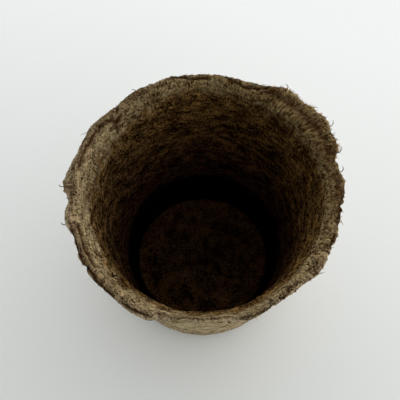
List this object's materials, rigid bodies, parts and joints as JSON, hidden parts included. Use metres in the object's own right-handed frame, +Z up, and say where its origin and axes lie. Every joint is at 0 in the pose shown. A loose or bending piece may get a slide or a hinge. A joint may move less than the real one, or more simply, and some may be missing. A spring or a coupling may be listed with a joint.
{
  "type": "peat pot",
  "caption": "Round tapered seedling pot of moulded peat fibre felt, with a ragged flared lip and loose fibres in its edge.",
  "frame": {"origin": "on the pot's axis, in the plane that its foot ring stands on", "axes": "+Z up the pot's axis towards the mouth; +X to the right and -Y towards the viewer in the picture"},
  "size_m": [0.085, 0.0824, 0.0651],
  "materials": {
    "peat_felt": "rough matt felt of brown peat and pale wood fibre",
    "dark_rootlet": "dull dark brown root hair",
    "pale_wood_fibre": "dull pale straw"
  },
  "bodies": {
    "root": {"pot_shell": "peat_felt", "curled_rootlets": "dark_rootlet", "straight_splinters": "pale_wood_fibre"}
  },
  "joints": []
}
